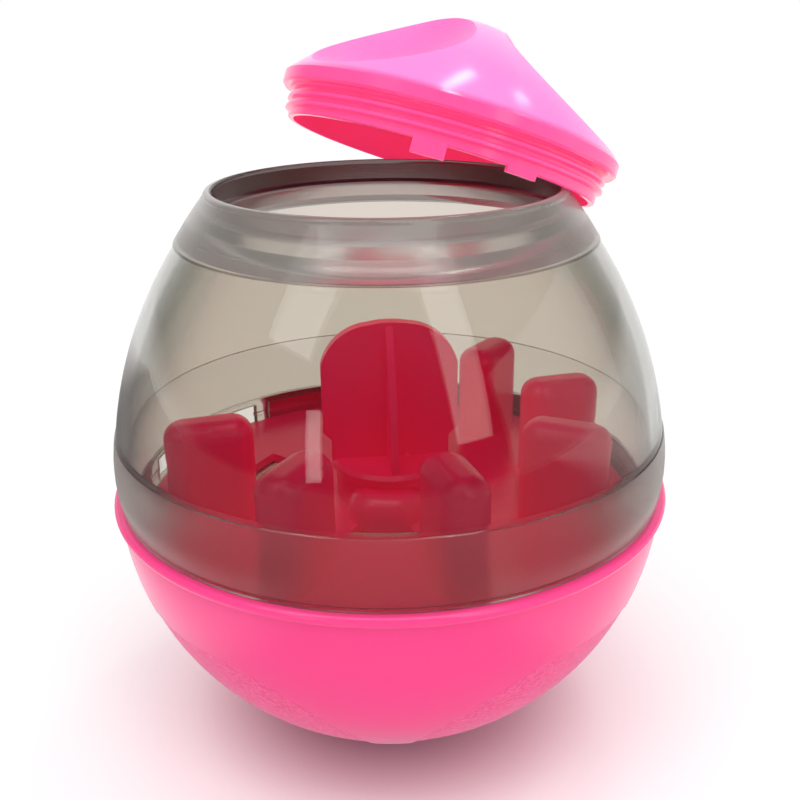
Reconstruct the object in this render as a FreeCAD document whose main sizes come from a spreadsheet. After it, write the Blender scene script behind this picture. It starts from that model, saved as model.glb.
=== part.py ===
import FreeCAD, Part
import math
import os
import Sketcher

# Treat ball: a tumbling feeder for a pet. A pink bowl carries a steel weight, a smoke-tinted floor and
# a turning maze of posts. A smoke-tinted dome snaps into the bowl's rim and turns on it, and a pink
# threaded lid lies loose on the open neck.
# Millimetres, +Z up. The origin is the centre of the small flat foot that the ball stands on, the
# ball's axis is Z, and -Y is the side that the photograph shows.

doc = FreeCAD.newDocument("TreatBall")
sheet = doc.addObject("Spreadsheet::Sheet", "Sizes")

DRIVING = [
    # bowl
    ("bowl_radius", 58.9),
    ("foot_radius", 7.0),
    ("bowl_wall", 2.4),
    ("seam_drop", 0.48),
    ("rim_proud", 1.1),
    ("rim_tall", 2.2),
    ("rim_proud_top", 0.7),
    ("inner_floor_height", 3.6),
    ("outlet_start", 127.0),
    ("outlet_end", 175.0),
    ("outlet_tall", 9.0),
    # fits
    ("running_gap", 0.3),
    ("screw_gap", 0.15),
    ("snap_depth", 0.4),
    ("snap_half_tall", 0.6),
    ("snap_drop", 4.0),
    # dome
    ("skirt_inset", 2.0),
    ("skirt_wall", 1.6),
    ("skirt_drop", 6.8),
    ("band_proud", 0.2),
    ("band_tall", 14.6),
    ("equator_inset", 0.8),
    ("equator_step", 0.25),
    ("shell_wall", 2.4),
    ("shell_tall", 38.4),
    ("shell_bulge", 2.2),
    ("shoulder_out", 6.1),
    ("shoulder_soft", 0.6),
    ("collar_step", 0.35),
    ("collar_tall", 10.2),
    ("collar_bulge", 0.25),
    ("neck_radius", 36.6),
    ("neck_wall", 1.75),
    ("neck_straight", 8.2),
    ("rim_soft", 1.1),
    ("neck_thread_drop", 5.0),
    ("neck_thread_depth", 0.7),
    ("window_tall", 5.2),
    ("window_floor", 0.6),
    ("window_a_start", 130.6),
    ("window_a_end", 172.0),
    ("window_b_start", 86.0),
    ("window_b_end", 126.6),
    # smoke-tinted floor
    ("floor_thick", 2.0),
    ("floor_drop", 8.1),
    ("floor_ridge", 0.8),
    ("floor_ridge_wide", 1.4),
    ("floor_ridge_pitch", 4.0),
    ("floor_ridge_first", 18.0),
    ("seat_wide", 2.7),
    ("spigot_radius", 7.0),
    ("spigot_bore", 4.0),
    ("spigot_tall", 8.0),
    # maze
    ("maze_inset", 1.3),
    ("maze_thick", 2.0),
    ("hub_radius", 12.0),
    ("hub_roof", 2.0),
    ("post_long", 18.4),
    ("post_thick", 9.8),
    ("post_corner", 4.6),
    ("post_tall", 22.4),
    ("post_round", 3.8),
    ("post_wall", 2.0),
    ("lobe_wide", 16.0),
    ("lobe_out", 6.4),
    ("lobe_drop", 1.6),
    ("lobe_round_share", 0.65),
    ("hub_round", 2.0),
    ("gate_start", -112.0),
    ("gate_end", -76.0),
    ("gate_reach", 28.0),
    ("drop_start", 146.0),
    ("drop_end", 189.0),
    ("drop_inner", 20.0),
    ("drop_outer", 35.0),
    # grip
    ("grip_disc_radius", 13.0),
    ("grip_disc_thick", 1.6),
    ("grip_wide", 29.5),
    ("grip_foot_wide", 25.8),
    ("grip_foot_tall", 4.4),
    ("grip_thick", 3.0),
    ("grip_arch", 9.6),
    ("grip_tall", 32.4),
    ("grip_corner_full", 0.1),
    ("grip_crown_half", 4.4),
    ("grip_crown_drop", 0.43),
    ("rib_thick", 1.6),
    ("rib_foot", 12.0),
    ("rib_middle", 8.8),
    ("rib_middle_drop", 16.5),
    ("rib_crown", 1.2),
    ("grip_turn", 6.0),
    ("barb_out", 0.9),
    ("barb_tall", 2.4),
    # weight
    ("weight_share", 0.9277),
    ("weight_thick", 6.0),
    ("weight_height", 7.2),
    ("weight_chamfer", 0.3),
    ("boss_radius", 3.5),
    ("boss_share", 0.636),
    ("boss_sunk", 0.6),
    ("fence_wall", 1.5),
    ("fence_gap", 0.4),
    ("fence_tall", 3.0),
    ("screw_radius", 1.25),
    ("screw_bite", 3.2),
    ("screw_head_radius", 2.6),
    ("screw_head_tall", 1.8),
    ("screw_crown_out", 1.56),
    ("screw_crown_rise", 1.57),
    ("crown_flat", 0.4),
    # lid
    ("flange_inset", 0.5),
    ("flange_thick", 2.6),
    ("flange_edge", 0.5),
    ("flange_lip", 2.0),
    ("cap_tall", 20.5),
    ("cap_crown_radius", 10.0),
    ("cap_crown_drop", 2.04),
    ("cap_crown_sag", 0.52),
    ("cap_bulge", 1.5),
    ("cap_wall", 2.0),
    ("lid_fit_gap", 0.55),
    ("thread_depth", 0.9),
    ("thread_pitch", 1.9),
    ("thread_turns", 2.8),
    ("thread_half_foot", 0.8),
    ("thread_half_crest", 0.27),
    ("lid_skirt_tall", 6.0),
    ("lid_skirt_wall", 1.2),
    ("lid_lead_in", 0.25),
    ("scoop_radius", 27.35),
    ("scoop_out", 32.4),
    ("scoop_azimuth", -177.1),
    ("scoop_height", 31.17),
    ("lug_a_azimuth", -134.7),
    ("lug_a_tall", 2.6),
    ("lug_b_azimuth", -103.3),
    ("lug_b_tall", 1.1),
    ("lug_half_angle", 5.5),
    # where the lid leans on the neck: the centre of its flange's top, lower on a wider neck
    ("lid_east_share", 0.3803),
    ("lid_north_share", 0.3896),
    ("lid_rise", 12.5),
    ("lid_sink_share", 0.06283),
    ("lid_lean", 20.96),
    ("lid_lean_toward", 37.03),
    # azimuth of each maze post, and how far its outer end stays in from the plate's edge
    ("post_a_azimuth", -162.0),
    ("post_a_inset", 5.4),
    ("post_b_azimuth", -117.0),
    ("post_b_inset", 6.4),
    ("post_c_azimuth", -71.0),
    ("post_c_inset", 7.2),
    ("post_d_azimuth", -24.0),
    ("post_d_inset", 5.4),
    ("post_e_azimuth", 16.0),
    ("post_e_inset", 4.0),
    ("post_f_azimuth", 56.0),
    ("post_f_inset", 0.4),
    ("post_g_azimuth", 101.0),
    ("post_g_inset", 2.4),
]

POST_LETTERS = "abcdefg"
LUG_LETTERS = "ab"
SCREW_COUNT = 3
SCOOP_COUNT = 3
ROOT_HALF = math.sqrt(0.5)
ZERO = 1e-9
LEVEL = 1e-4
UP = FreeCAD.Vector(0, 0, 1)
ALONG_X = FreeCAD.Vector(1, 0, 0)


class Size:
    """A number that carries the sheet formula that gives it."""

    def __init__(self, value, formula):
        self.value = value
        self.formula = formula

    def __add__(self, other):
        other = as_size(other)
        return Size(self.value + other.value, f"({self.formula} + {other.formula})")

    def __sub__(self, other):
        other = as_size(other)
        return Size(self.value - other.value, f"({self.formula} - {other.formula})")

    def __mul__(self, other):
        other = as_size(other)
        return Size(self.value * other.value, f"({self.formula} * {other.formula})")

    def __truediv__(self, other):
        other = as_size(other)
        return Size(self.value / other.value, f"({self.formula} / {other.formula})")

    def __neg__(self):
        return Size(-self.value, f"(0 - {self.formula})")

    __radd__ = __add__
    __rmul__ = __mul__

    def __rsub__(self, other):
        return as_size(other) - self


def as_size(term):
    if isinstance(term, Size):
        return term
    return Size(float(term), f"({term})")


def root(term):
    return Size(math.sqrt(term.value), f"sqrt({term.formula})")


def cosine(angle):
    angle = as_size(angle)
    return Size(math.cos(math.radians(angle.value)), f"cos({angle.formula})")


def sine(angle):
    angle = as_size(angle)
    return Size(math.sin(math.radians(angle.value)), f"sin({angle.formula})")


def reach(radius, height_from_centre):
    """How far a circle of this radius is from its axis at a height above or below its centre."""
    return root(radius * radius - height_from_centre * height_from_centre)


def polar(radius, azimuth):
    return (radius * cosine(azimuth), radius * sine(azimuth))


for row, (alias, number) in enumerate(DRIVING, start=1):
    sheet.set(f"A{row}", alias)
    sheet.set(f"B{row}", str(number))
    sheet.setAlias(f"B{row}", alias)
doc.recompute()
S = {alias: Size(float(number), f"Sizes.{alias}") for alias, number in DRIVING}


class Via(tuple):
    """A point that the side between its two neighbours bends through, as an arc."""


def new_body(name):
    return doc.addObject("PartDesign::Body", name)


def origin_part(body, role):
    for feature in body.Origin.OriginFeatures:
        if feature.Role == role:
            return feature
    raise RuntimeError(f"no {role}")


def hold_point(sketch, geometry, end, point):
    """Fix one point of a sketch at sheet-driven distances from the sketch's origin."""
    for axis, kind, size in ((-2, "DistanceX", point[0]), (-1, "DistanceY", point[1])):
        size = as_size(size)
        if abs(size.value) < ZERO:
            sketch.addConstraint(Sketcher.Constraint("PointOnObject", geometry, end, axis))
            continue
        row = sketch.addConstraint(Sketcher.Constraint(kind, -1, 1, geometry, end, size.value))
        sketch.setExpression(f"Constraints[{row}]", size.formula)


def spot(point):
    return FreeCAD.Vector(as_size(point[0]).value, as_size(point[1]).value, 0)


def draw(body, name, role, outline, lift=0):
    """Sketch a closed outline on an origin plane, raised by lift, with every corner held by the sheet."""
    sketch = body.newObject("Sketcher::SketchObject", name)
    sketch.AttachmentSupport = [(origin_part(body, role), "")]
    sketch.MapMode = "FlatFace"
    lift = as_size(lift)
    sketch.AttachmentOffset = FreeCAD.Placement(FreeCAD.Vector(0, 0, lift.value), FreeCAD.Rotation())
    sketch.setExpression("AttachmentOffset.Base.z", lift.formula)
    corners = [point for point in outline if not isinstance(point, Via)]
    bends = {}
    count = -1
    for point in outline:
        if isinstance(point, Via):
            bends[count] = point
        else:
            count += 1
    sides = []
    for index, start in enumerate(corners):
        stop = corners[(index + 1) % len(corners)]
        if index not in bends:
            geometry = sketch.addGeometry(Part.LineSegment(spot(start), spot(stop)), False)
            sides.append((geometry, 1, 2))
            continue
        middle = spot(bends[index])
        geometry = sketch.addGeometry(Part.Arc(spot(start), middle, spot(stop)), False)
        turn = (middle - spot(start)).cross(spot(stop) - middle).z
        sides.append((geometry, 1, 2) if turn > 0 else (geometry, 2, 1))
    for index, (geometry, first, last) in enumerate(sides):
        following = sides[(index + 1) % len(sides)]
        link = Sketcher.Constraint("Coincident", geometry, last, following[0], following[1])
        sketch.addConstraint(link)
    for (geometry, first, last), corner in zip(sides, corners):
        hold_point(sketch, geometry, first, corner)
    for index, bend in bends.items():
        marker = sketch.addGeometry(Part.Point(spot(bend)), True)
        hold_point(sketch, marker, 1, bend)
        sketch.addConstraint(Sketcher.Constraint("PointOnObject", marker, 1, sides[index][0]))
    return sketch


def turned(body, name, sketch, kind="PartDesign::Revolution"):
    feature = body.newObject(kind, name)
    feature.Profile = sketch
    feature.ReferenceAxis = (sketch, ["V_Axis"])
    feature.Angle = 360
    body.Tip = feature
    return feature


def raised(body, name, sketch, length, kind="PartDesign::Pad", midplane=False):
    feature = body.newObject(kind, name)
    feature.Profile = sketch
    feature.setExpression("Length", as_size(length).formula)
    if midplane:
        feature.Midplane = True
    body.Tip = feature
    return feature


def sunk(body, name, sketch, depth):
    """Cut a sketch's outline downwards."""
    return raised(body, name, sketch, depth, kind="PartDesign::Pocket")


def repeated(body, name, feature, count):
    pattern = body.newObject("PartDesign::PolarPattern", name)
    pattern.Originals = [feature]
    pattern.Axis = (origin_part(body, "Z_Axis"), [""])
    pattern.Angle = 360
    pattern.Occurrences = count
    body.Tip = pattern
    return pattern


def sector(inner, outer, start, stop):
    """The outline of part of a ring between two azimuths."""
    middle = (start + stop) / 2
    return [
        polar(outer, start),
        Via(polar(outer, middle)),
        polar(outer, stop),
        polar(inner, stop),
        Via(polar(inner, middle)),
        polar(inner, start),
    ]


def disc(radius, azimuth=0, out=0):
    """The outline of a circle whose centre lies out from the axis."""
    x, y = polar(as_size(out), azimuth)
    return [(x + radius, y), Via((x, y + radius)), (x - radius, y), Via((x, y - radius))]


def bar(long, wide, corner, azimuth, out):
    """The outline of a rounded bar that points away from the axis."""
    along = (cosine(azimuth), sine(azimuth))
    half_long = long / 2
    half_wide = wide / 2
    centre_long = half_long - corner
    centre_wide = half_wide - corner
    bend = corner * ROOT_HALF

    def place(u, v):
        return ((out + u) * along[0] - v * along[1], (out + u) * along[1] + v * along[0])

    outline = []
    for side_u, side_v in ((1, 1), (-1, 1), (-1, -1), (1, -1)):
        flat = place(side_u * centre_long, side_v * half_wide)
        end = place(side_u * half_long, side_v * centre_wide)
        curve = Via(place(side_u * (centre_long + bend), side_v * (centre_wide + bend)))
        first, last = (end, flat) if side_u * side_v > 0 else (flat, end)
        outline += [first, curve, last]
    return outline


def edges_at(feature, height, inside=None):
    """Names of a feature's edges that lie flat at this height, optionally only where inside says so."""
    names = []
    for number, edge in enumerate(feature.Shape.Edges, start=1):
        box = edge.BoundBox
        flat = abs(box.ZMin - height) < LEVEL and abs(box.ZMax - height) < LEVEL
        if flat and (inside is None or inside(box.Center)):
            names.append(f"Edge{number}")
    return names


def rounded(body, name, feature, edges, radius):
    fillet = body.newObject("PartDesign::Fillet", name)
    fillet.Base = (feature, edges)
    fillet.setExpression("Radius", as_size(radius).formula)
    body.Tip = fillet
    return fillet


gap = S["running_gap"]
bowl_radius = S["bowl_radius"]
bowl_centre = reach(bowl_radius, S["foot_radius"])
bowl_inside = bowl_radius - S["bowl_wall"]
seam = bowl_centre - S["seam_drop"]
rim_radius = bowl_radius + S["rim_proud"]
skirt_radius = bowl_radius - S["skirt_inset"]
skirt_bore = skirt_radius - S["skirt_wall"]
equator_radius = bowl_radius - S["equator_inset"]
equator = seam + S["band_tall"]
shoulder = equator + S["shell_tall"]
rim = shoulder + S["collar_tall"]
neck_radius = S["neck_radius"]
neck_bore = neck_radius - S["neck_wall"]
shoulder_radius = neck_radius + S["shoulder_out"]
dome_base = seam + gap / 2
skirt_foot = seam - S["skirt_drop"]
snap_height = seam - S["snap_drop"]
seat_height = seam - S["floor_drop"] - S["floor_thick"]
seat_bore = skirt_bore + gap
floor_top = seat_height + S["floor_thick"]
maze_foot = floor_top + S["floor_ridge"] + gap
maze_top = maze_foot + S["maze_thick"]
spigot_top = floor_top + S["spigot_tall"]
hub_ceiling = spigot_top + gap
hub_top = hub_ceiling + S["hub_roof"]
stem_radius = S["spigot_bore"] - gap
maze_radius = skirt_bore - S["maze_inset"]
post_top = maze_top + S["post_tall"]
grip_top = hub_top + S["grip_tall"]
weight_room = reach(bowl_inside, bowl_centre - S["weight_height"])
weight_radius = weight_room * S["weight_share"]
boss_circle = weight_radius * S["boss_share"]
thread_root = neck_bore - S["lid_fit_gap"] - S["thread_depth"]
flange_radius = neck_radius - S["flange_inset"]


def base_bowl():
    body = new_body("BaseBowl")
    rim_foot = seam - S["rim_tall"]
    recess_foot = skirt_foot - gap
    recess_radius = skirt_radius + gap
    groove = recess_radius + S["snap_depth"] + gap / 2
    groove_half = S["snap_half_tall"] + gap
    ramp_foot = seat_height - S["seat_wide"]
    profile = draw(body, "BowlProfile", "XZ_Plane", [
        (0, 0),
        (S["foot_radius"], 0),
        Via((bowl_radius * ROOT_HALF, bowl_centre - bowl_radius * ROOT_HALF)),
        (reach(bowl_radius, bowl_centre - rim_foot), rim_foot),
        Via((rim_radius, seam - S["rim_tall"] / 2)),
        (rim_radius - S["rim_proud_top"], seam),
        (recess_radius, seam),
        (recess_radius, snap_height + groove_half),
        Via((groove, snap_height)),
        (recess_radius, snap_height - groove_half),
        (recess_radius, recess_foot),
        (seat_bore, recess_foot),
        (seat_bore, seat_height),
        (seat_bore - S["seat_wide"], seat_height),
        (reach(bowl_inside, bowl_centre - ramp_foot), ramp_foot),
        Via((bowl_inside * ROOT_HALF, bowl_centre - bowl_inside * ROOT_HALF)),
        (reach(bowl_inside, bowl_centre - S["inner_floor_height"]), S["inner_floor_height"]),
        (0, S["inner_floor_height"]),
    ])
    turned(body, "Bowl", profile)
    fence_inner = weight_radius + S["fence_gap"]
    fence_top = S["weight_height"] + S["fence_tall"]
    fence_root = bowl_centre - reach(bowl_radius - S["bowl_wall"] / 2, fence_inner + S["fence_wall"] / 2)
    fence = draw(body, "FenceProfile", "XZ_Plane", [
        (fence_inner, fence_root),
        (fence_inner + S["fence_wall"], fence_root),
        (fence_inner + S["fence_wall"], fence_top),
        (fence_inner, fence_top),
    ])
    turned(body, "WeightFence", fence)
    boss_root = S["inner_floor_height"] - S["boss_sunk"]
    boss_sketch = draw(body, "BossOutline", "XY_Plane", disc(S["boss_radius"], 90, boss_circle),
                       lift=boss_root)
    boss = raised(body, "Boss", boss_sketch, S["weight_height"] - boss_root)
    repeated(body, "Bosses", boss, SCREW_COUNT)
    pilot_sketch = draw(body, "PilotOutline", "XY_Plane",
                        disc(S["screw_radius"] + S["screw_gap"], 90, boss_circle),
                        lift=S["weight_height"])
    pilot = sunk(body, "Pilot", pilot_sketch, S["screw_bite"] + gap)
    repeated(body, "Pilots", pilot, SCREW_COUNT)
    outlet = draw(body, "OutletOutline", "XY_Plane",
                  sector(recess_radius - S["seat_wide"], rim_radius + S["seat_wide"],
                         S["outlet_start"], S["outlet_end"]),
                  lift=seam + gap)
    sunk(body, "Outlet", outlet, S["outlet_tall"] + gap)
    return body


def dome():
    body = new_body("Dome")
    bore_foot = rim - S["neck_straight"]
    shell_lean = (equator_radius - shoulder_radius) / S["shell_tall"]
    inner_shoulder = shoulder_radius - S["shell_wall"] / reach(as_size(1), shell_lean)
    inner_equator = equator_radius - S["shell_wall"]
    edge = S["collar_step"]
    soft = S["rim_soft"]
    bulge_height = (equator + shoulder) / 2 + S["shell_bulge"] / 2
    profile = draw(body, "DomeProfile", "XZ_Plane", [
        (skirt_radius, dome_base),
        (equator_radius + S["equator_step"], dome_base),
        Via((bowl_radius + S["band_proud"], seam + S["band_tall"] / 2)),
        (equator_radius + S["equator_step"], equator - S["equator_step"]),
        (equator_radius, equator),
        Via(((equator_radius + shoulder_radius) / 2 + S["shell_bulge"], bulge_height)),
        (shoulder_radius, shoulder),
        (shoulder_radius + edge, shoulder + edge / 2),
        Via(((shoulder_radius + neck_radius) / 2 + S["collar_bulge"],
             (shoulder + rim - soft) / 2 + S["collar_bulge"])),
        (neck_radius, rim - soft),
        Via((neck_radius - soft * (1 - ROOT_HALF), rim - soft * (1 - ROOT_HALF))),
        (neck_radius - soft, rim),
        (neck_bore + edge, rim),
        (neck_bore, rim - edge),
        (neck_bore, bore_foot),
        (inner_shoulder, shoulder - S["shoulder_soft"]),
        Via(((inner_equator + inner_shoulder) / 2 + S["shell_bulge"], bulge_height)),
        (inner_equator, equator),
        (skirt_bore + S["equator_step"], dome_base + S["equator_step"]),
        (skirt_bore, dome_base),
        (skirt_bore, skirt_foot),
        (skirt_radius, skirt_foot),
        (skirt_radius, snap_height - S["snap_half_tall"]),
        Via((skirt_radius + S["snap_depth"], snap_height)),
        (skirt_radius, snap_height + S["snap_half_tall"]),
    ])
    turned(body, "Shell", profile)
    ridge_height = rim - S["neck_thread_drop"]
    thread_depth = S["neck_thread_depth"]
    ridge = draw(body, "NeckThreadProfile", "XZ_Plane", [
        (neck_bore + gap, ridge_height - thread_depth),
        (neck_bore + gap, ridge_height + thread_depth),
        (neck_bore, ridge_height + thread_depth),
        (neck_bore - thread_depth, ridge_height),
        (neck_bore, ridge_height - thread_depth),
    ])
    turned(body, "NeckThread", ridge)
    window_foot = skirt_foot + S["window_floor"]
    for letter in "ab":
        opening = draw(body, f"Window{letter.upper()}Outline", "XY_Plane",
                       sector(skirt_bore - S["skirt_wall"], skirt_radius + S["skirt_wall"],
                              S[f"window_{letter}_start"], S[f"window_{letter}_end"]),
                       lift=window_foot + S["window_tall"])
        sunk(body, f"Window{letter.upper()}", opening, S["window_tall"])
    return body


def floor_plate():
    body = new_body("FloorPlate")
    edge = seat_bore - gap
    profile = draw(body, "FloorProfile", "XZ_Plane", [
        (S["spigot_bore"], seat_height),
        (edge, seat_height),
        (edge, floor_top),
        (S["spigot_radius"], floor_top),
        (S["spigot_radius"], spigot_top),
        (S["spigot_bore"], spigot_top),
    ])
    turned(body, "Floor", profile)
    ridge_count = int((edge.value - S["floor_ridge_first"].value) / S["floor_ridge_pitch"].value)
    for number in range(ridge_count):
        middle = S["floor_ridge_first"] + S["floor_ridge_pitch"] * number
        half = S["floor_ridge_wide"] / 2
        ridge = draw(body, f"RidgeProfile{number}", "XZ_Plane", [
            (middle - half, floor_top - S["floor_ridge"] / 2),
            (middle + half, floor_top - S["floor_ridge"] / 2),
            (middle + half, floor_top),
            Via((middle, floor_top + S["floor_ridge"])),
            (middle - half, floor_top),
        ])
        turned(body, f"Ridge{number}", ridge)
    return body


def maze_plate():
    body = new_body("MazePlate")
    profile = draw(body, "PlateProfile", "XZ_Plane", [
        (0, maze_foot),
        (maze_radius, maze_foot),
        (maze_radius, maze_top),
        (S["hub_radius"], maze_top),
        (S["hub_radius"], hub_top),
        (0, hub_top),
    ])
    turned(body, "Plate", profile)
    gate = draw(body, "GateOutline", "XY_Plane",
                sector(S["hub_radius"], S["gate_reach"], S["gate_start"], S["gate_end"]), lift=maze_top)
    sunk(body, "Gate", gate, S["maze_thick"])
    drop = draw(body, "DropOutline", "XY_Plane",
                sector(S["drop_inner"], S["drop_outer"], S["drop_start"], S["drop_end"]), lift=maze_top)
    sunk(body, "Drop", drop, S["maze_thick"])
    lobe_middle = (S["gate_start"] + S["gate_end"]) / 2
    lobe_reach = S["hub_radius"] + S["lobe_out"]
    lobe_sketch = draw(body, "LobeOutline", "XY_Plane",
                       bar(lobe_reach, S["lobe_wide"], S["lobe_out"], lobe_middle, lobe_reach / 2),
                       lift=maze_foot)
    lobe_top = hub_top - S["lobe_drop"]
    lobe = raised(body, "Lobe", lobe_sketch, lobe_top - maze_foot)
    doc.recompute()

    def beyond_hub(centre):
        return math.hypot(centre.x, centre.y) > S["hub_radius"].value

    soft_lobe = rounded(body, "LobeTop", lobe, edges_at(lobe, lobe_top.value, beyond_hub),
                        S["lobe_out"] * S["lobe_round_share"])
    doc.recompute()
    rounded(body, "HubTop", soft_lobe, edges_at(soft_lobe, hub_top.value), S["hub_round"])
    posts = []
    for letter in POST_LETTERS:
        out = maze_radius - S[f"post_{letter}_inset"] - S["post_long"] / 2
        posts.append((letter.upper(), S[f"post_{letter}_azimuth"], out))
    for letter, azimuth, out in posts:
        outline = bar(S["post_long"], S["post_thick"], S["post_corner"], azimuth, out)
        post_sketch = draw(body, f"PostOutline{letter}", "XY_Plane", outline, lift=maze_foot)
        last = raised(body, f"Post{letter}", post_sketch, post_top - maze_foot)
    doc.recompute()
    rounded(body, "PostTops", last, edges_at(last, post_top.value), S["post_round"])
    wall = S["post_wall"]
    for letter, azimuth, out in posts:
        outline = bar(S["post_long"] - wall * 2, S["post_thick"] - wall * 2, S["post_corner"] - wall,
                      azimuth, out)
        hollow = draw(body, f"PostHollowOutline{letter}", "XY_Plane", outline, lift=post_top - wall)
        sunk(body, f"PostHollow{letter}", hollow, post_top - wall - maze_foot)
    socket = draw(body, "SocketProfile", "XZ_Plane", [
        (0, maze_foot - gap),
        (S["spigot_radius"] + gap, maze_foot - gap),
        (S["spigot_radius"] + gap, hub_ceiling),
        (stem_radius + gap, hub_ceiling),
        (stem_radius + gap, hub_top + gap),
        (0, hub_top + gap),
    ])
    turned(body, "Socket", socket, kind="PartDesign::Groove")
    return body


def maze_grip():
    body = new_body("MazeGrip")
    barb_top = seat_height - gap
    disc_top = hub_top + S["grip_disc_thick"]
    profile = draw(body, "DiscProfile", "XZ_Plane", [
        (0, barb_top - S["barb_tall"]),
        (stem_radius, barb_top - S["barb_tall"]),
        (stem_radius + S["barb_out"], barb_top),
        (stem_radius, barb_top),
        (stem_radius, hub_top),
        (S["grip_disc_radius"], hub_top),
        (S["grip_disc_radius"], disc_top - S["grip_disc_thick"] / 2),
        (S["grip_disc_radius"] - S["grip_disc_thick"] / 2, disc_top),
        (0, disc_top),
    ])
    turned(body, "Disc", profile)
    half = S["grip_wide"] / 2
    half_foot = S["grip_foot_wide"] / 2
    arch_foot = grip_top - S["grip_arch"]
    foot_top = disc_top + S["grip_foot_tall"]
    flare_top = foot_top + half - half_foot
    corner_out = half * ROOT_HALF + S["grip_corner_full"]
    corner_height = arch_foot + S["grip_arch"] * ROOT_HALF
    crown_height = grip_top - S["grip_crown_drop"]
    outline = [
        (-half_foot, hub_top),
        (half_foot, hub_top),
        (half_foot, foot_top),
        (half, flare_top),
        (half, arch_foot),
        Via((corner_out, corner_height)),
        (S["grip_crown_half"], crown_height),
        Via((0, grip_top)),
        (-S["grip_crown_half"], crown_height),
        Via((-corner_out, corner_height)),
        (-half, arch_foot),
        (-half, flare_top),
        (-half_foot, foot_top),
    ]
    paddle = draw(body, "PaddleOutline", "XZ_Plane", outline)
    raised(body, "Paddle", paddle, S["grip_thick"], midplane=True)
    middle_height = grip_top - S["rib_middle_drop"]
    rib = draw(body, "RibOutline", "YZ_Plane", [
        (-S["rib_foot"], hub_top),
        (S["rib_foot"], hub_top),
        Via((S["rib_middle"], middle_height)),
        (S["rib_crown"], crown_height),
        (-S["rib_crown"], crown_height),
        Via((-S["rib_middle"], middle_height)),
    ])
    raised(body, "Rib", rib, S["rib_thick"], midplane=True)
    body.Placement = FreeCAD.Placement(FreeCAD.Vector(), UP, S["grip_turn"].value)
    body.setExpression("Placement.Rotation.Angle", S["grip_turn"].formula)
    return body


def weight():
    body = new_body("Weight")
    top = S["weight_height"] + S["weight_thick"]
    profile = draw(body, "WeightProfile", "XZ_Plane", [
        (0, S["weight_height"]),
        (weight_radius, S["weight_height"]),
        (weight_radius, top - S["weight_chamfer"]),
        (weight_radius - S["weight_chamfer"], top),
        (0, top),
    ])
    turned(body, "Puck", profile)
    hole_sketch = draw(body, "HoleOutline", "XY_Plane",
                       disc(S["screw_radius"] + gap, 90, boss_circle), lift=top)
    hole = sunk(body, "ScrewHole", hole_sketch, S["weight_thick"])
    repeated(body, "ScrewHoles", hole, SCREW_COUNT)
    return body


def weight_screws():
    """Three pan-head screws, as solids of one node."""
    head_foot = S["weight_height"] + S["weight_thick"]
    solids = []
    for number in range(SCREW_COUNT):
        azimuth = 90 + 360 * number / SCREW_COUNT
        body = new_body(f"Screw{number}")
        profile = draw(body, f"ScrewProfile{number}", "XZ_Plane", [
            (0, S["weight_height"] - S["screw_bite"]),
            (S["screw_radius"], S["weight_height"] - S["screw_bite"]),
            (S["screw_radius"], head_foot),
            (S["screw_head_radius"], head_foot),
            (S["screw_head_radius"], head_foot + S["screw_head_tall"] / 2),
            Via((S["screw_crown_out"], head_foot + S["screw_crown_rise"])),
            (S["crown_flat"], head_foot + S["screw_head_tall"]),
            (0, head_foot + S["screw_head_tall"]),
        ])
        turned(body, f"ScrewBody{number}", profile)
        x, y = polar(boss_circle, azimuth)
        body.setExpression("Placement.Base.x", x.formula)
        body.setExpression("Placement.Base.y", y.formula)
        solids.append(body)
    group = doc.addObject("Part::Compound", "WeightScrews")
    group.Links = solids
    return group


def cap_outline(shrink, foot):
    """The lid's upper surface, drawn in by shrink, and closed down to foot along the axis."""
    top = S["flange_thick"] + S["cap_tall"] - shrink
    crown = S["cap_crown_radius"]
    edge = flange_radius - S["flange_edge"] - shrink
    edge_height = S["flange_thick"] + S["flange_edge"] - shrink
    crown_height = top - S["cap_crown_drop"]
    return [
        (0, foot),
        (edge, foot),
        (edge, edge_height),
        Via(((edge + crown) / 2 + S["cap_bulge"] / 2, (edge_height + crown_height) / 2 + S["cap_bulge"])),
        (crown, crown_height),
        Via((crown / 2, top - S["cap_crown_sag"])),
        (S["crown_flat"], top),
        (0, top),
    ]


def scooped(body, prefix, grow):
    """Cut the three finger scoops into a lid body; grow makes them larger, to leave a wall under them.

    Each ball lies on its side, which keeps its poles and its seam above the cap.
    """
    for number in range(SCOOP_COUNT):
        x, y = polar(S["scoop_out"], S["scoop_azimuth"] + 360 * number / SCOOP_COUNT)
        ball = body.newObject("PartDesign::SubtractiveSphere", f"{prefix}{number}")
        ball.Placement = FreeCAD.Placement(FreeCAD.Vector(), FreeCAD.Rotation(ALONG_X, 90))
        ball.setExpression("Radius", (S["scoop_radius"] + grow).formula)
        ball.setExpression("Placement.Base.x", x.formula)
        ball.setExpression("Placement.Base.y", y.formula)
        ball.setExpression("Placement.Base.z", S["scoop_height"].formula)
        body.Tip = ball


def lid_hollow():
    """The space inside the lid, as a body that the lid subtracts."""
    inner = new_body("LidHollow")
    bore = thread_root - S["lid_skirt_wall"]
    foot = -(S["lid_skirt_tall"] + S["lug_a_tall"] + gap)
    top = S["flange_thick"] + S["cap_tall"]
    hollow = draw(inner, "HollowProfile", "XZ_Plane", cap_outline(S["cap_wall"], -S["cap_wall"]))
    turned(inner, "Hollow", hollow)
    scooped(inner, "HollowScoop", S["cap_wall"])
    bore_sketch = draw(inner, "BoreProfile", "XZ_Plane", [
        (0, foot),
        (bore, foot),
        (bore, 0),
        (0, 0),
    ])
    turned(inner, "Bore", bore_sketch)
    outside = flange_radius + gap
    trim = draw(inner, "TrimProfile", "XZ_Plane", [
        (bore, foot),
        (outside, foot),
        (outside, top),
        (bore, top),
    ])
    turned(inner, "Trim", trim, kind="PartDesign::Groove")
    return inner


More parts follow.
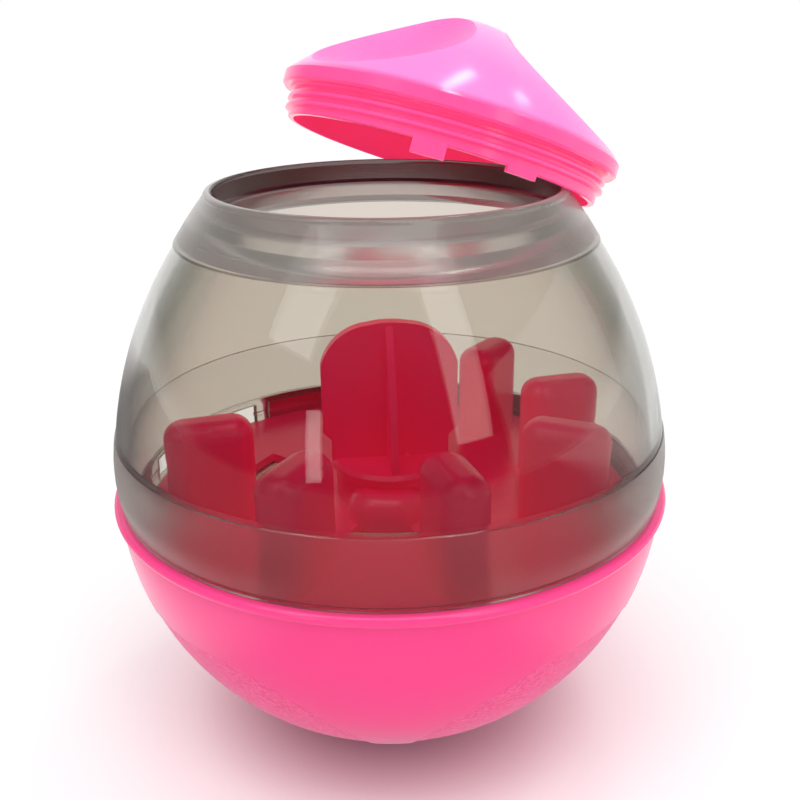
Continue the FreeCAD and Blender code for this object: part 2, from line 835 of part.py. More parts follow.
def lid():
    """A hollow threaded cap, drawn upright with z = 0 on the flange's underside, then leaned over."""
    body = new_body("Lid")
    skirt_end = -S["lid_skirt_tall"]
    edge = S["flange_edge"]
    profile = draw(body, "CapProfile", "XZ_Plane", cap_outline(0, 0))
    turned(body, "Cap", profile)
    scooped(body, "Scoop", 0)
    flange = draw(body, "FlangeProfile", "XZ_Plane", [
        (0, skirt_end),
        (thread_root - S["lid_lead_in"], skirt_end),
        (thread_root, skirt_end + S["lid_lead_in"]),
        (thread_root, 0),
        (flange_radius - edge, 0),
        (flange_radius, edge),
        (flange_radius, S["flange_thick"]),
        (flange_radius - edge, S["flange_thick"] + edge),
        (flange_radius - S["flange_lip"], S["flange_thick"]),
        (0, S["flange_thick"]),
    ])
    turned(body, "Flange", flange)
    for letter in LUG_LETTERS:
        azimuth = S[f"lug_{letter}_azimuth"]
        lug_tall = S[f"lug_{letter}_tall"]
        lug = draw(body, f"LugOutline{letter.upper()}", "XY_Plane",
                   sector(thread_root - S["lid_skirt_wall"], thread_root,
                          azimuth - S["lug_half_angle"], azimuth + S["lug_half_angle"]),
                   lift=skirt_end - lug_tall)
        raised(body, f"Lug{letter.upper()}", lug, lug_tall + gap)
    hollow = body.newObject("PartDesign::Boolean", "HollowOut")
    hollow.Type = "Cut"
    hollow.addObjects([lid_hollow()])
    body.Tip = hollow
    thread_height = skirt_end + S["thread_half_foot"] + gap
    thread = draw(body, "ThreadProfile", "XZ_Plane", [
        (thread_root - gap, thread_height - S["thread_half_foot"]),
        (thread_root + S["thread_depth"], thread_height - S["thread_half_crest"]),
        (thread_root + S["thread_depth"], thread_height + S["thread_half_crest"]),
        (thread_root - gap, thread_height + S["thread_half_foot"]),
    ])
    helix = body.newObject("PartDesign::AdditiveHelix", "Thread")
    helix.Profile = thread
    helix.ReferenceAxis = (thread, ["V_Axis"])
    helix.Mode = "pitch-turns-angle"
    helix.setExpression("Pitch", S["thread_pitch"].formula)
    helix.setExpression("Turns", S["thread_turns"].formula)
    body.Tip = helix
    lean = S["lid_lean"]
    toward = S["lid_lean_toward"]
    x = neck_radius * S["lid_east_share"] - S["flange_thick"] * sine(lean) * cosine(toward)
    y = neck_radius * S["lid_north_share"] - S["flange_thick"] * sine(lean) * sine(toward)
    z = rim + S["lid_rise"] - neck_radius * S["lid_sink_share"] - S["flange_thick"] * cosine(lean)
    axis_turn = f"create(<<rotation>>; create(<<vector>>; 0; 0; 1); {toward.formula})"
    lean_turn = f"create(<<rotation>>; create(<<vector>>; 0; 1; 0); {lean.formula})"
    place = f"create(<<vector>>; {x.formula}; {y.formula}; {z.formula})"
    body.setExpression("Placement", f"create(<<placement>>; {place}; {axis_turn} * {lean_turn})")
    return body


NODES = {
    "base_bowl": base_bowl,
    "dome": dome,
    "floor_plate": floor_plate,
    "maze_plate": maze_plate,
    "maze_grip": maze_grip,
    "weight": weight,
    "weight_screws": weight_screws,
    "lid": lid,
}

parts = {}
for node, make in NODES.items():
    parts[node] = make()
    parts[node].Label = node
doc.recompute()

for item in doc.Objects:
    bad = [word for word in item.State if word in ("Invalid", "Error")]
    if bad:
        raise RuntimeError(f"{item.Name} is {bad}")
for node, item in parts.items():
    shape = item.Shape
    if shape.isNull() or not shape.isValid():
        raise RuntimeError(f"{node} has no valid shape")
    box = shape.BoundBox
    print(f"{node}: {len(shape.Solids)} solids, {shape.Volume / 1000:.2f} cm3, "
          f"z {box.ZMin:.2f} to {box.ZMax:.2f}, x {box.XMin:.2f} to {box.XMax:.2f}, "
          f"y {box.YMin:.2f} to {box.YMax:.2f}")

os.makedirs("parts", exist_ok=True)
for node, item in parts.items():
    item.Shape.exportStep(f"parts/{node}.step")
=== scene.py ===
import math

import bpy
from mathutils import Matrix, Vector


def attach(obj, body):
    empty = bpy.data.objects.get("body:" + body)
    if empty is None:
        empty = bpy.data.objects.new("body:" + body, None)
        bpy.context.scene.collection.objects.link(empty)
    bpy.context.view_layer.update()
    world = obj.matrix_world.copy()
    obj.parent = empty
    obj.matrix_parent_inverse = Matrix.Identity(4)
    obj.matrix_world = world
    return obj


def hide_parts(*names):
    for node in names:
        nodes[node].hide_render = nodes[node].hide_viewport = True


# %% [markdown]
# # A treat ball
# A pink weighted bowl, a smoke-tinted dome that turns on it, a pink maze of posts inside, and a threaded
# lid that leans on the open neck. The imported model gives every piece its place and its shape. This
# notebook gives each one the surface of the real plastic, and it remodels the bowl, because the solid
# leaves out the bowl's shallow grained panels.

# %% Load the frame
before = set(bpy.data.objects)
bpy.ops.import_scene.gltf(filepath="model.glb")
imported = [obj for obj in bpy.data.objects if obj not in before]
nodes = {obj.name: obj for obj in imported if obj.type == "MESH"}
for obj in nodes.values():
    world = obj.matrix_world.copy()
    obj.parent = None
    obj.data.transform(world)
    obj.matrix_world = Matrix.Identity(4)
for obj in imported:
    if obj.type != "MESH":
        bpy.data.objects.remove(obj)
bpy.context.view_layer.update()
MM = 0.001

# %% [markdown]
# The lid's tilt, the bowl's panels and the lamps are all given by a bearing and an angle above the floor,
# in degrees, as one would read them off a turntable. One helper turns both into a direction.


# %% A direction
def direction(azimuth, elevation=0.0):
    """A unit vector, by its bearing and its angle above the floor in degrees."""
    around, up = math.radians(azimuth), math.radians(elevation)
    return Vector((math.cos(up) * math.cos(around), math.cos(up) * math.sin(around), math.sin(up)))


# %% [markdown]
# ## Shader arithmetic
# Shader nodes add, multiply and compare one socket at a time, which is slow to read. A small class wraps
# a socket, so that a pattern is written as ordinary arithmetic and each sign adds its Math node. A Math
# node turns a colour grey, so colours are blended by a Mix node instead.


# %% A socket that Python arithmetic can use
class Wire:
    def __init__(self, board, socket):
        self.board = board
        self.socket = socket

    def math(self, operation, *others):
        return self.board.node("ShaderNodeMath", {"operation": operation}, dict(enumerate((self, *others))))

    def __add__(self, other):
        return self.math("ADD", other)

    def __sub__(self, other):
        return self.math("SUBTRACT", other)

    def __mul__(self, other):
        return self.math("MULTIPLY", other)

    def __rsub__(self, other):
        return self.math("MULTIPLY", -1.0) + other

    __radd__ = __add__
    __rmul__ = __mul__


# %% A node tree, with short names for what is used often
class Board:
    """Adds nodes to a tree by one method, node, on which the others build."""

    def __init__(self, tree):
        self.tree = tree

    def feed(self, socket, value):
        """Link a wire to a socket, or write a plain value into it."""
        if isinstance(value, Wire):
            self.tree.links.new(value.socket, socket)
        elif isinstance(value, tuple) and socket.type == "RGBA":
            socket.default_value = (*value, 1.0)
        else:
            socket.default_value = value

    def node(self, kind, settings=None, inputs=None, output=0):
        made = self.tree.nodes.new(kind)
        for key, value in (settings or {}).items():
            setattr(made, key, value)
        for key, value in (inputs or {}).items():
            self.feed(made.inputs[key], value)
        return Wire(self, made.outputs[output])

    def axis(self, letter, space="Object"):
        place = self.node("ShaderNodeTexCoord", output=space)
        return self.node("ShaderNodeSeparateXYZ", inputs={0: place}, output=letter)

    def from_axis(self):
        """How far a point lies from the ball's upright axis."""
        east, north = self.axis("X"), self.axis("Y")
        return (east * east + north * north).math("SQRT")

    def between(self, value, low, high):
        """0 below low, 1 above high and a smooth step from one to the other."""
        return self.node("ShaderNodeMapRange", {"interpolation_type": "SMOOTHSTEP"},
                         {"Value": value, "From Min": low, "From Max": high})

    def step(self, value, place, blur):
        """0 below a place and 1 above it, with an edge that is blurred by so much to each side."""
        return self.between(value, place - blur, place + blur)

    def noise(self, scale, detail=2.0, roughness=0.5):
        place = self.node("ShaderNodeTexCoord", output="Object")
        return self.node("ShaderNodeTexNoise", inputs={
            "Vector": place, "Scale": scale, "Detail": detail, "Roughness": roughness})

    def blend(self, factor, low, high):
        """A colour that goes from low to high as factor goes from 0 to 1."""
        return self.node("ShaderNodeMix", {"data_type": "RGBA"}, {0: factor, 6: low, 7: high}, output=2)

    def seen(self):
        """1 for rays that come from the camera straight, by a reflection or through glass."""
        kinds = ("Is Camera Ray", "Is Glossy Ray", "Is Transmission Ray")
        straight, mirrored, passed = (self.node("ShaderNodeLightPath", output=kind) for kind in kinds)
        return straight.math("MAXIMUM", mirrored).math("MAXIMUM", passed)

    def bounced(self, kind):
        """1 for rays that bounced at least once in this way: Glossy is mirrored, Diffuse is scattered."""
        return self.node("ShaderNodeLightPath", output=kind + " Depth").math("MINIMUM", 1.0)


# %% A material, and a way to put it on a node
class Finish(Board):
    """A material with a Principled shader."""

    def __init__(self, name, **sockets):
        self.material = bpy.data.materials.new(name)
        self.material.use_nodes = True
        super().__init__(self.material.node_tree)
        self.shader = self.tree.nodes["Principled BSDF"]
        for socket, value in sockets.items():
            self.set(socket.replace("_", " "), value)

    def set(self, socket, value):
        self.feed(self.shader.inputs[socket], value)

    def bump(self, height, distance):
        self.set("Normal", self.node("ShaderNodeBump", inputs={"Height": height, "Distance": distance}))

    def mix_with(self, factor, other):
        """Show some of another shader: factor 0 is all plastic, and 1 is all of the other."""
        mixed = self.node("ShaderNodeMixShader", inputs={0: factor, 2: other})
        self.tree.links.new(self.shader.outputs[0], mixed.socket.node.inputs[1])
        self.tree.links.new(mixed.socket, self.tree.nodes["Material Output"].inputs[0])


def dress(node, finish):
    """Give a CAD node a finish in place of its plain one."""
    materials = nodes[node].data.materials
    materials.clear()
    materials.append(finish.material)
    print(node, "wears", finish.material.name)


# %% [markdown]
# ## Smoke-tinted dome
# The dome is one clear moulding with a grey-brown tint. Its neck's collar and its band at the widest place
# are frosted. The solid has real walls, so light bends in and out of them as it does in the real shell,
# which a glassy finish on a single thin sheet would miss. One material serves the whole dome, because the
# height of a point tells which part it lies on.

# %% Dome: masks for its parts
COLLAR_FOOT = 111.2 * MM
FROST_FOOT = 115.4 * MM
BAND_TOP = 72.4 * MM
BORE_RADIUS = 35.3 * MM
EDGE = 0.25 * MM

smoke = Finish("smoke_clear", Transmission_Weight=1.0, IOR=1.45)
height = smoke.axis("Z")
collar = smoke.step(height, COLLAR_FOOT, EDGE)
frost_top = smoke.step(height, FROST_FOOT, 2 * EDGE)
frost_band = 1.0 - smoke.step(height, BAND_TOP, EDGE)
bore = frost_top * (1.0 - smoke.step(smoke.from_axis(), BORE_RADIUS, 0.3 * MM))
skin = frost_top - bore
# A narrow band at the step under the collar, painted dark as painted shade.
step_shade_line = (smoke.between(height, COLLAR_FOOT - EDGE, COLLAR_FOOT - 0.5 * EDGE)
             - smoke.between(height, COLLAR_FOOT + EDGE, COLLAR_FOOT + 2 * EDGE))
print("band up to", round(BAND_TOP / MM, 1), "mm, collar from", round(COLLAR_FOOT / MM, 1), "mm")

# %% [markdown]
# Smoke plastic looks darkest where a ray crosses most of it, as at the dome's outline. Layer Weight tells
# how far the glass turns away from the ray. The inside of the neck is painted near black, partly for its
# thick plastic and partly as painted shade from the lid above it. A thin dark line along the step under the
# collar is painted shade.

# %% Dome: tint
flow = smoke.noise(28.0, 2.0)
grazing = smoke.node("ShaderNodeLayerWeight", inputs={"Blend": 0.5}, output="Facing")
outline = smoke.between(grazing, 0.3, 0.75)
# Painted shade, partly thick plastic: the neck's bore under the lid and the step under the collar go near
# black.
bore_and_step_shade = bore.math("MAXIMUM", step_shade_line * 0.8)
tint = smoke.blend(flow, (0.735, 0.70, 0.63), (0.755, 0.72, 0.65))
for part, colour in ((collar, (0.83, 0.80, 0.72)),
                     (frost_top, (0.68, 0.65, 0.60)),
                     (outline * (1.0 - frost_band), (0.36, 0.365, 0.345)),
                     (bore_and_step_shade, (0.085, 0.055, 0.055))):
    tint = smoke.blend(part, tint, colour)
smoke.set("Base Color", tint)
print("tint:", len(smoke.tree.nodes), "nodes so far")

# %% [markdown]
# Frosting is a fine grain on the surface. It blurs what shows through, so it is roughness with a fine
# bump, and it catches light of its own, so a little of a plain matt shader is mixed in as haze. The
# collar's outer skin is polished over its frosting, which is what the coat is for.

# %% Dome: frosting, grain and haze
sparkle = smoke.noise(2200.0, 3.0, 0.7)
smoke.set("Roughness", 0.02 + flow * 0.01 + collar * 0.13 + frost_top * 0.07 + frost_band * 0.17)
smoke.set("Coat Weight", skin * 0.7)
smoke.set("Coat Roughness", 0.08)
smoke.bump(sparkle * (skin * 0.6 + bore * 2.0 + frost_band * 0.3), 0.02 * MM)
haze = smoke.node("ShaderNodeBsdfDiffuse", inputs={"Color": (0.48, 0.45, 0.42)})
collar_haze = (collar - bore) * (1.0 - step_shade_line) * (0.25 + outline * 0.15)
band_haze = frost_band * (0.04 + smoke.between(grazing, 0.4, 0.85) * 0.25)
smoke.mix_with(collar_haze + band_haze, haze)
dress("dome", smoke)

# %% [markdown]
# ## Floor plate
# The plate under the maze is seen only through the maze's two openings, as a sandy disc with ridges. The
# ridges are in the solid. The plate lets little light through, so it has a low transmission and a
# grainy surface.

# %% Smoke plastic of the floor plate
floor_smoke = Finish("smoke_floor", Base_Color=(0.80, 0.74, 0.60), Transmission_Weight=0.15, IOR=1.45,
                     Roughness=0.35)
floor_smoke.bump(floor_smoke.noise(900.0, 4.0), 0.03 * MM)
dress("floor_plate", floor_smoke)

# %% [markdown]
# ## Pink plastics
# The bowl, the maze and the lid are moulded in one pink. The bowl and the lid are polished, and the maze
# inside is a little duller. Moulded plastic is never quite even: its colour drifts a little where it
# flowed, and its gloss has a faint orange peel. So each finish has a slow drift and a fine ripple, and
# subsurface scattering lets some light sink in.

# %% One pink: light sinks in, the colour drifts and the gloss ripples
RIPPLE_HEIGHT = 0.004 * MM


def pink_plastic(name, sinks_in):
    return Finish(name, IOR=1.48, Subsurface_Weight=sinks_in, Subsurface_Radius=(1.0, 0.35, 0.5),
                  Subsurface_Scale=4.0 * MM)


def drift(made, dark, light):
    return made.blend(made.noise(35.0, 3.0), dark, light)


def uneven_gloss(made, least, more=0.06):
    return least + made.noise(140.0, 4.0) * more


def ripple(made):
    return made.noise(420.0, 3.0)


# %% [markdown]
# The bowl's wall is thin, and light slips through it where it curves away at the outline. A pale sheen
# stands in for that. The posts of the maze are thin too, and a faint glow of their own pink stands in for
# the light that passes through them.

# %% Pinks of the bowl and of the maze
def thin_edge(made):
    made.set("Sheen Weight", 0.45)
    made.set("Sheen Roughness", 0.35)
    made.set("Sheen Tint", (1.0, 0.62, 0.82))


bowl_pink = pink_plastic("bowl_pink", 0.25)
bowl_pink.set("Base Color", drift(bowl_pink, (0.92, 0.052, 0.235), (0.94, 0.058, 0.255)))
bowl_pink.set("Roughness", uneven_gloss(bowl_pink, 0.19))
bowl_pink.bump(ripple(bowl_pink), RIPPLE_HEIGHT)
thin_edge(bowl_pink)

maze_pink = pink_plastic("maze_pink", 0.25)
maze_pink.set("Base Color", drift(maze_pink, (0.90, 0.018, 0.115), (0.94, 0.022, 0.125)))
maze_pink.set("Roughness", uneven_gloss(maze_pink, 0.23))
maze_pink.bump(ripple(maze_pink), 2 * RIPPLE_HEIGHT)
maze_pink.set("Emission Color", (0.13, 0.003, 0.018))
maze_pink.set("Emission Strength", 1.0)
dress("maze_plate", maze_pink)
dress("maze_grip", maze_pink)

# %% [markdown]
# ## Lid
# The crown is painted a paler pink than the thread, as painted light: it catches the strongest light, and
# light comes through the thin lid from behind. A faint glow, painted light too, stands in for some of that
# light. The height along the lid's own tilted axis tells the crown from the thread. Three finger scoops are
# hollowed out of the crown as parts of a sphere, and they are grained, so the distance to each sphere's
# middle finds them. They are a darker pink, partly the duller tone of their grain and partly painted shade
# in the hollows.

# %% Lid: masks for its crown and its scoops
LID_LEAN, LID_BEARING = 20.96, 37.03
LID_SEAT = Vector((13.18, 13.70, 128.97)) * MM
LID_EDGE = 129.75 * MM
SCOOP_MIDDLE = Vector((32.4, 0, 31.17))
SCOOP_RADIUS = 27.35 * MM
SCOOP_TURNS = (-177.1, -57.1, 62.9)

lid_pink = pink_plastic("lid_pink", 0.5)
lid_place = lid_pink.node("ShaderNodeTexCoord", output="Object")


def lid_measure(operation, other):
    return lid_pink.node("ShaderNodeVectorMath", {"operation": operation}, {0: lid_place, 1: other},
                         output="Value")


up_lid = lid_measure("DOT_PRODUCT", direction(LID_BEARING, 90 - LID_LEAN))
crown = lid_pink.between(up_lid, LID_EDGE - 0.2 * MM, LID_EDGE + 1.4 * MM)
lid_turn = (Matrix.Rotation(math.radians(LID_BEARING), 3, "Z")
            @ Matrix.Rotation(math.radians(LID_LEAN), 3, "Y"))
scooped = 0.0
for turn in SCOOP_TURNS:
    round_lid = Matrix.Rotation(math.radians(turn), 3, "Z")
    away = lid_measure("DISTANCE", LID_SEAT + lid_turn @ round_lid @ SCOOP_MIDDLE * MM)
    scooped = (1.0 - lid_pink.between(away, SCOOP_RADIUS + 0.08 * MM, SCOOP_RADIUS + 0.2 * MM)) + scooped
print("lid:", len(SCOOP_TURNS), "scoops")

# %% Lid: pinks with painted light and shade, grain and glow
# Painted light: the crown's pink is paler than the thread's.
lit_crown_pink = drift(lid_pink, (0.96, 0.23, 0.57), (0.97, 0.25, 0.60))
# Painted shade in the scoops, partly the duller tone of their grain.
lit_crown_pink = lid_pink.blend(scooped, lit_crown_pink, (0.95, 0.17, 0.49))
lid_pink.set("Base Color", lid_pink.blend(crown, (0.95, 0.085, 0.30), lit_crown_pink))
lid_pink.set("Roughness", uneven_gloss(lid_pink, 0.13, 0.04) + scooped * 0.2)
scoop_grain = scooped * lid_pink.noise(1700.0, 2.0, 0.6) * 2.0
lid_pink.bump(ripple(lid_pink) * 0.1 + scoop_grain, 0.05 * MM)
lid_pink.set("Emission Color", (0.27, 0.016, 0.05))
lid_pink.set("Emission Strength", 1.0)
dress("lid", lid_pink)

# %% [markdown]
# ## Bowl
# Three shallow panels with a fine grain are sunk into the underside of the polished bowl. A bump in the
# material would leave the outline smooth, so they are carved. The bowl's solid is copied, and corners of
# its triangles that lie on each other are merged. The faces of the skin are cut along the planes that
# bound each panel, the faces between those planes are inset, which leaves a narrow wall round them, and
# then they are pressed in.

# %% A copy of the bowl's solid
BOWL_RADIUS = 58.9 * MM
BALL = Vector((0, 0, 58.48 * MM))
bowl = bpy.data.objects.new("bowl", nodes["base_bowl"].data.copy())
bpy.context.scene.collection.objects.link(bowl)
bpy.ops.object.select_all(action="DESELECT")
bowl.select_set(True)
bpy.context.view_layer.objects.active = bowl
bpy.context.tool_settings.mesh_select_mode = (False, False, True)
bpy.ops.object.mode_set(mode="EDIT")
bpy.ops.mesh.select_all(action="SELECT")
bpy.ops.mesh.remove_doubles(threshold=0.001 * MM)
bpy.ops.mesh.customdata_custom_splitnormals_clear()
bpy.ops.object.mode_set(mode="OBJECT")
print("bowl:", len(bowl.data.polygons), "faces to start from")

# %% [markdown]
# A panel is bounded by a level line at its top and by a curved line down each side. Each line is where a
# plane meets the ball. A side's plane also meets the ball on its far side, so a plane through the
# panel's middle keeps the two halves apart.

# %% Panels: where their edges lie, in degrees round the ball and above its middle
PANEL_BEARINGS = (-150, -30, 90)
PANEL_TOP = -18
PANEL_MIDDLE = -45
PANEL_SIDE = ((30.8, -19), (51, -38), (42, -66))


def on_ball(azimuth, elevation):
    """A point of the bowl's skin, by its bearing from the ball's middle."""
    return BALL + BOWL_RADIUS * direction(azimuth, elevation)


def wall_through(first, second, third, inside):
    """The plane through three points, as a point of it and its normal, which points away from inside."""
    normal = (second - first).cross(third - first).normalized()
    return first, normal if normal.dot(inside - first) < 0 else -normal


def panel_walls(azimuth):
    """The top edge's plane, the plane that halves the panel, and the plane of each half's curved side."""
    middle = on_ball(azimuth, PANEL_MIDDLE)
    facing = direction(azimuth)
    top = (on_ball(azimuth, PANEL_TOP), Vector((0, 0, 1)))
    half = (BALL, Vector((-facing.y, facing.x, 0)))
    left, right = (wall_through(*(on_ball(azimuth + hand * turn, up) for turn, up in PANEL_SIDE), middle)
                   for hand in (-1, 1))
    return top, half, left, right


print("panels:", len(PANEL_BEARINGS), "with tops at", round(on_ball(0, PANEL_TOP).z / MM, 1), "mm")


# %% Picking faces by their place
SKIN_TOP = 45 * MM


def on_skin(place):
    """Whether a place lies on the round outside of the bowl, below its rim."""
    return abs((place - BALL).length - BOWL_RADIUS) < 0.1 * MM and place.z < SKIN_TOP


def beyond(wall, place):
    """Whether a place lies on the side of the wall that its normal points to."""
    point, normal = wall
    return normal.dot(place - point) > 0


def pick_faces(piece, test):
    """Select the faces whose middle passes the test, and go back to edit mode."""
    bpy.ops.object.mode_set(mode="OBJECT")
    for part in (piece.data.vertices, piece.data.edges):
        part.foreach_set("select", [False] * len(part))
    for face in piece.data.polygons:
        face.select = test(face.center)
    bpy.ops.object.mode_set(mode="EDIT")


# %% [markdown]
# The panels are of the same plastic, with a grain that the mould leaves in them. The grain is far too fine
# to carve, so it is a bump, and it mottles the colour: the tops of the grain are painted paler and its pits
# darker, as painted light and shade on the grain. The copy takes the polished pink in its first slot and
# the grained one in its second.

# %% Panels: their grained pink
GRAIN_SLOT = 1
grain_pink = pink_plastic("grain_pink", 0.2)
grain = grain_pink.noise(1100.0, 2.0, 0.6)
# Mottle of the grain, with painted light on its tops and painted shade in its pits.
grain_mottle_and_shade = grain_pink.between(grain, 0.35, 0.65)
grain_pink.set("Base Color", grain_pink.blend(grain_mottle_and_shade, (0.86, 0.035, 0.195), (0.98, 0.085, 0.30)))
grain_pink.set("Roughness", uneven_gloss(grain_pink, 0.41))
grain_pink.bump(grain, 0.25 * MM)
thin_edge(grain_pink)
bowl.data.materials.clear()
for finish in (bowl_pink, grain_pink):
    bowl.data.materials.append(finish.material)
bowl.active_material_index = GRAIN_SLOT
print("bowl wears", [material.name for material in bowl.data.materials])

# %% Panels: cut, inset and pressed in
PANEL_LIP = 0.25 * MM
PANEL_DEPTH = 0.3 * MM
SLIVER = 0.08 * MM


def cut(wall, test):
    """Cut the skin's faces that pass the test along a wall."""
    pick_faces(bowl, lambda place: on_skin(place) and test(place))
    point, normal = wall
    bpy.ops.mesh.bisect(plane_co=point, plane_no=normal, threshold=SLIVER)


def press_panel(azimuth):
    top, half, left, right = panel_walls(azimuth)

    def near(place):
        return direction(azimuth).dot(place) > 0

    def inside(place):
        return not beyond(top, place) and not beyond(right if beyond(half, place) else left, place)

    cut(top, near)
    cut(half, near)
    cut(left, lambda place: near(place) and not beyond(half, place))
    cut(right, lambda place: near(place) and beyond(half, place))
    pick_faces(bowl, lambda place: on_skin(place) and near(place) and inside(place))
    bpy.ops.mesh.inset(thickness=PANEL_LIP, use_even_offset=False)
    bpy.ops.transform.resize(value=[1 - PANEL_DEPTH / BOWL_RADIUS] * 3, center_override=BALL)
    bpy.ops.object.material_slot_assign()
    bpy.ops.object.mode_set(mode="OBJECT")


for bearing in PANEL_BEARINGS:
    press_panel(bearing)
sunk = [face for face in bowl.data.polygons if face.material_index == GRAIN_SLOT]
deep = BOWL_RADIUS - sum((face.center - BALL).length for face in sunk) / len(sunk)
print("panels:", len(sunk), "faces,", round(deep / MM, 3), "mm deep")

# %% [markdown]
# The round skin is shaded smooth. Edges sharper than the limit, such as the panels' walls, the rim and
# the outlet, stay crisp. The finished bowl stands for the CAD bowl and moves with the base.

# %% Bowl: shading, and its place in the model
SHARP = math.radians(28)
bpy.ops.object.shade_smooth_by_angle(angle=SHARP)
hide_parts("base_bowl")
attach(bowl, "base")
print("bowl:", len(bowl.data.polygons), "faces")

# %% [markdown]
# ## Weight and screws
# The weight is a turned steel disc. A lathe leaves fine rings round its axis, so a sine of the distance
# from the axis drives the bump and the roughness. The screws are plated, and a zinc coat is mottled.

# %% Steel of the weight
RINGS_PER_METRE = 9000.0
steel = Finish("steel", Base_Color=(0.56, 0.56, 0.58), Metallic=1.0)
rings = (steel.from_axis() * RINGS_PER_METRE).math("SINE")
steel.set("Roughness", 0.33 + rings * 0.05 + steel.noise(300.0, 4.0) * 0.06)
steel.bump(rings * 0.5 + steel.noise(1500.0), 0.01 * MM)
dress("weight", steel)

# %% Zinc of the screws
zinc = Finish("zinc", Metallic=1.0)
mottle = zinc.noise(700.0, 4.0)
zinc.set("Base Color", zinc.blend(mottle, (0.70, 0.70, 0.73), (0.80, 0.80, 0.80)))
zinc.set("Roughness", 0.2 + mottle * 0.12)
dress("weight_screws", zinc)

# %% [markdown]
# ## Camera
# The photograph looks down on the ball by about 21 degrees, from some 20 cm in front of its axis, and its
# frame is turned by a little over half a degree. From so near, the front of each rim looks much larger
# than its back, so the distance matters as much as the direction.

# %% Camera
LOOKS_DOWN = 21.39
ROLL = -0.613
camera = bpy.data.objects.new("camera", bpy.data.cameras.new("camera"))
bpy.context.scene.collection.objects.link(camera)
camera.data.sensor_width = 36.0
camera.data.lens = 45.1
camera.data.clip_start = 0.01
camera.rotation_euler = (Matrix.Rotation(math.radians(90 - LOOKS_DOWN), 3, "X")
                         @ Matrix.Rotation(math.radians(ROLL), 3, "Z")).to_euler()
camera.location = (2.33 * MM, -203.8 * MM, 154.2 * MM)
bpy.context.scene.camera = camera
print("camera at", [round(value / MM, 1) for value in camera.location], "mm")

# %% [markdown]
# ## Floor and backdrop
# The ball stands on a white sweep. White paper under a plain light would look grey, so away from the ball
# the sweep shows a plain white to the camera, and to rays that were mirrored or went through glass. Near
# the ball it is an ordinary matt surface, which keeps the shadow and the pink that the bowl throws on it,
# and right under the ball the paper is painted a darker pink-grey as a painted contact shadow. The glossy
# plastic also mirrors the side of the room where the camera stands, which is darker.

# %% Sweep
white = Finish("white_sweep", Roughness=0.9)
white.set("Specular IOR Level", 0.0)
side, back = white.axis("X"), white.axis("Y")
reach = white.from_axis()
# Painted contact shadow: the paper right under the ball is painted a darker pink-grey.
painted_contact_shadow = white.between(reach, 0.018, 0.052)
white.set("Base Color", white.blend(painted_contact_shadow, (0.56, 0.43, 0.49), (0.9, 0.9, 0.9)))

beside = white.between(side.math("ABSOLUTE"), 0.05, 0.10) * (1.0 - white.between(reach, 0.10, 0.15))
dark_room = white.bounced("Glossy") * (1.0 - white.between(back + side * 0.5, 0.10, 0.30))
dark_room = dark_room * (1.0 - beside)
far = white.between(reach, 0.035, 0.17)
glow = white.node("ShaderNodeEmission", inputs={
    "Strength": 1.0, "Color": white.blend(dark_room, (1.02, 1.02, 1.02), (0.30, 0.28, 0.28))})
white.mix_with(white.seen().math("MAXIMUM", dark_room) * far.math("MAXIMUM", dark_room), glow)

SWEEP_SIZE = 6.0
bpy.ops.mesh.primitive_plane_add(size=SWEEP_SIZE, location=(0, 0, 0))
sweep = bpy.context.object
sweep.name = "sweep"
sweep.data.materials.append(white.material)
print("sweep:", SWEEP_SIZE, "m across")

# %% [markdown]
# The world fills the shadows with an even light. To the camera, straight or through glass, it is white.
# A ray that was mirrored on its way, or scattered and then mirrored or let through glass, meets a dark
# room instead, with a white wall behind the ball and a white floor on that side.

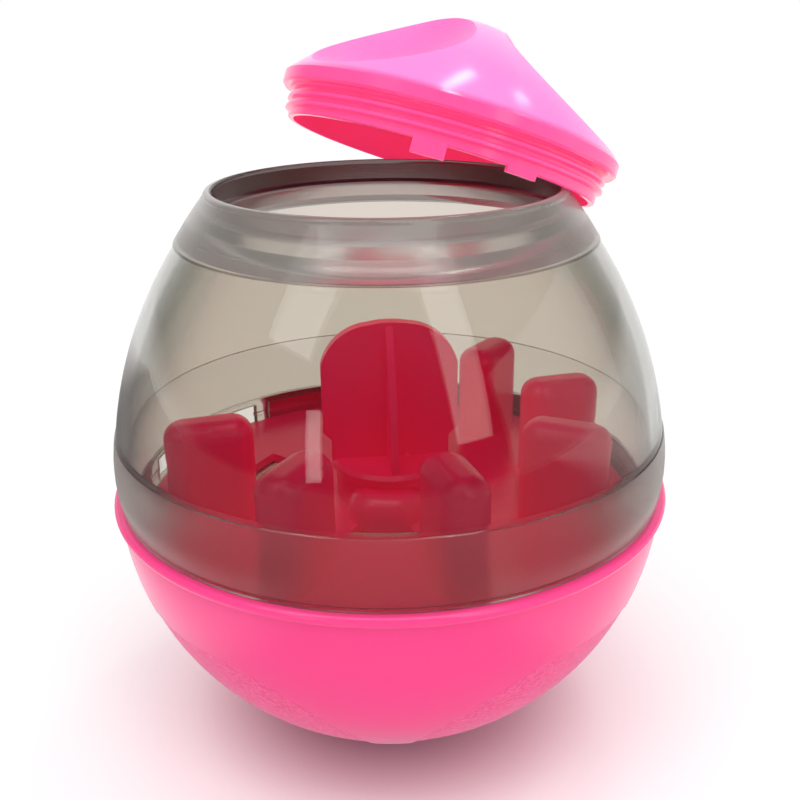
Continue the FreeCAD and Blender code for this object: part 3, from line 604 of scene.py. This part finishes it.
# %% World
world = bpy.data.worlds.new("studio")
bpy.context.scene.world = world
world.use_nodes = True
room = Board(world.node_tree)
to_back, to_top = room.axis("Y", "Generated"), room.axis("Z", "Generated")
behind = room.between(to_back, 0.45, 0.9)
low = room.between(to_back, -0.2, 0.2) * (1.0 - room.between(to_top, -0.05, 0.12))
bounced = room.bounced("Glossy").math("MAXIMUM", room.bounced("Diffuse"))
lit = behind.math("MAXIMUM", low).math("MAXIMUM", 1.0 - bounced)
shown = room.blend(lit, (0.06, 0.06, 0.06), (1.0, 1.0, 1.0))
sky = world.node_tree.nodes["Background"]
room.feed(sky.inputs["Color"], room.blend(room.seen(), (0.8, 0.8, 0.8), shown))
room.feed(sky.inputs["Strength"], 1.0)
bpy.context.scene.view_settings.view_transform = "Standard"
print("world:", len(world.node_tree.nodes), "nodes")

# %% [markdown]
# ## Lamps
# The glossy plastic mirrors the lamps, so each lamp's shape and bearing matter as much as its power. All
# of them stand at one distance and face the middle of the dome. Large softboxes light the ball from the
# front and from above, and small windows and a narrow strip add the smaller highlights.

# %% Softboxes
LAMP_DISTANCE = 1.2
AIM = Vector((0, 0, 90 * MM))


def softbox(name, azimuth, elevation, wide, tall, watts, turn=0.0):
    """A lamp that faces the ball from a bearing, so wide and so tall in metres, and turned if need be."""
    toward = direction(azimuth, elevation)
    lamp = bpy.data.lights.new(name, "AREA")
    lamp.shape = "RECTANGLE"
    lamp.size = wide
    lamp.size_y = tall
    lamp.energy = watts
    box = bpy.data.objects.new(name, lamp)
    bpy.context.scene.collection.objects.link(box)
    box.location = AIM + toward * LAMP_DISTANCE
    box.rotation_euler = (toward.to_track_quat("Z", "Y").to_matrix()
                          @ Matrix.Rotation(math.radians(turn), 3, "Z")).to_euler()
    print(name, "of", watts, "W")


softbox("softbox_left", -138, 45, 0.42, 0.55, 1.3)
softbox("softbox_right", -56, 34, 0.32, 1.05, 2.0)
softbox("softbox_top", -100, 78, 1.1, 0.8, 5.0)
softbox("strip", -91, 61.5, 1.3, 0.05, 0.6)
softbox("window_left", -119, 10, 0.12, 0.40, 0.45, turn=8)
softbox("side_right", -11, 14, 1.44, 0.69, 1.4)
softbox("window_high", 56, 63, 0.07, 0.28, 0.7)
softbox("window_low", 40, 45, 0.08, 0.10, 0.18)
